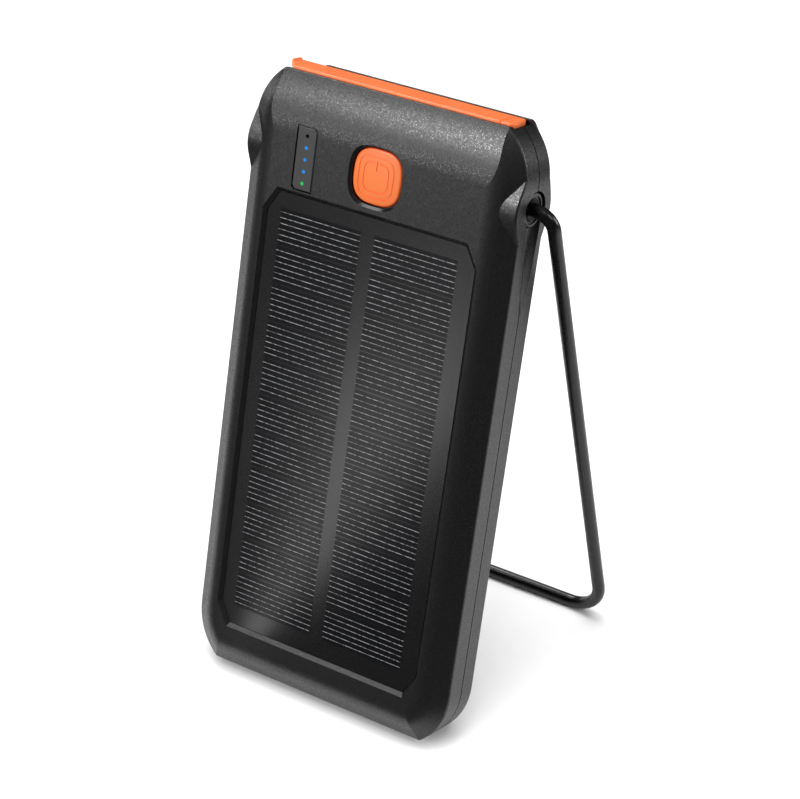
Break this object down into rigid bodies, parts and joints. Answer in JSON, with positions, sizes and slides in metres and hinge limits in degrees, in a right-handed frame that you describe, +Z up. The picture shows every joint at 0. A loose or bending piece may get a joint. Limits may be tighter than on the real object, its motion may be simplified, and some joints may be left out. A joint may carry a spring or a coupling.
{
  "type": "solar phone charger",
  "caption": "Slab-shaped portable solar battery charger with a front panel, power button, level lights, rubber port cover and folding wire stand.",
  "frame": {"origin": "on the floor, at the middle of the footprint of the slab and its opened stand", "axes": "+Z up; the solar panel faces -Y and leans back towards +Y, where the stand reaches the floor; +X is to the right seen from the front"},
  "size_m": [0.0854, 0.0712, 0.1473],
  "materials": {
    "shell": "fine spark-textured charcoal ABS with a faint metallic flake",
    "orange_rubber": "satin moulded orange silicone",
    "orange_key": "satin moulded orange plastic",
    "panel": "dark laminate under a clear satin film",
    "cell": "near-black monocrystalline silicon under a clear satin film",
    "silver_print": "fine matt silver screen print",
    "board": "green solder-masked glass-fibre board",
    "black_board": "black glass-fibre board",
    "adhesive": "white double-sided foam tape",
    "indicator_black": "smooth charcoal insert",
    "lens_blue": "translucent light pipe lit blue",
    "lens_green": "translucent light pipe lit green",
    "led_package": "white LED package",
    "steel_wire": "black powder-coated spring-steel wire",
    "black_plastic": "moulded black acetal",
    "connector_steel": "nickel-plated sheet steel",
    "connector_plastic": "white nylon connector insert",
    "contact_gold": "gold-plated contact",
    "chip_black": "black epoxy chip package",
    "ferrite": "moulded grey ferrite",
    "ceramic": "tan ceramic with tinned ends",
    "battery_foil": "matt silver laminate pouch",
    "foam": "black polyurethane foam",
    "nickel": "nickel strip",
    "lead_red": "red silicone lead",
    "lead_black": "black silicone lead",
    "screw_steel": "black-oxide steel screw"
  },
  "bodies": {
    "case": {"battery_cell": "battery_foil", "battery_lead_black": "lead_black", "battery_lead_red": "lead_red", "battery_pad": "foam", "battery_protection_board": "board", "battery_tabs": "nickel", "battery_tape": "adhesive", "case_screws": "screw_steel", "ceramic_capacitors": "ceramic", "controller_chips": "chip_black", "front_shell": "shell", "indicator_leds": "led_package", "indicator_plate": "indicator_black", "light_pipe_green": "lens_green", "light_pipes_blue": "lens_blue", "main_pcb": "board", "micro_usb_shell": "connector_steel", "micro_usb_tongue": "black_plastic", "panel_adhesive": "adhesive", "pcb_screws": "screw_steel", "pivot_bush_left": "black_plastic", "pivot_bush_right": "black_plastic", "port_cover_anchor": "orange_rubber", "power_inductors": "ferrite", "rear_shell": "shell", "solar_backing_board": "black_board", "solar_cells": "cell", "solar_fingers": "silver_print", "solar_lead_black": "lead_black", "solar_lead_red": "lead_red", "solar_potting": "panel", "switch_body": "black_plastic", "usb_a_shell_left": "connector_steel", "usb_a_shell_right": "connector_steel", "usb_a_tongue_left": "connector_plastic", "usb_a_tongue_right": "connector_plastic", "usb_contacts": "contact_gold"},
    "stand": {"wire_stand": "steel_wire"},
    "button": {"power_button": "orange_key", "switch_plunger": "connector_plastic"},
    "cover": {"port_cover": "orange_rubber"}
  },
  "joints": [
    {"name": "stand_fold", "type": "hinge", "parent": "case", "child": "stand", "pos_m": [0, 0.00697, 0.12834], "axis": [1, 0, 0], "range_deg": [-23.7, 152.2]},
    {"name": "button_press", "type": "slide", "parent": "case", "child": "button", "axis": [0, 0.9627, -0.2706], "range_m": [0, 0.0005], "stiffness_N_per_m": 3000, "springref_m": -0.0002},
    {"name": "cover_open", "type": "hinge", "parent": "case", "child": "cover", "pos_m": [0.0264, 0.01174, 0.14567], "axis": [0, 0.9627, -0.2706], "range_deg": [0, 95], "stiffness_Nm_per_rad": 0.004}
  ]
}
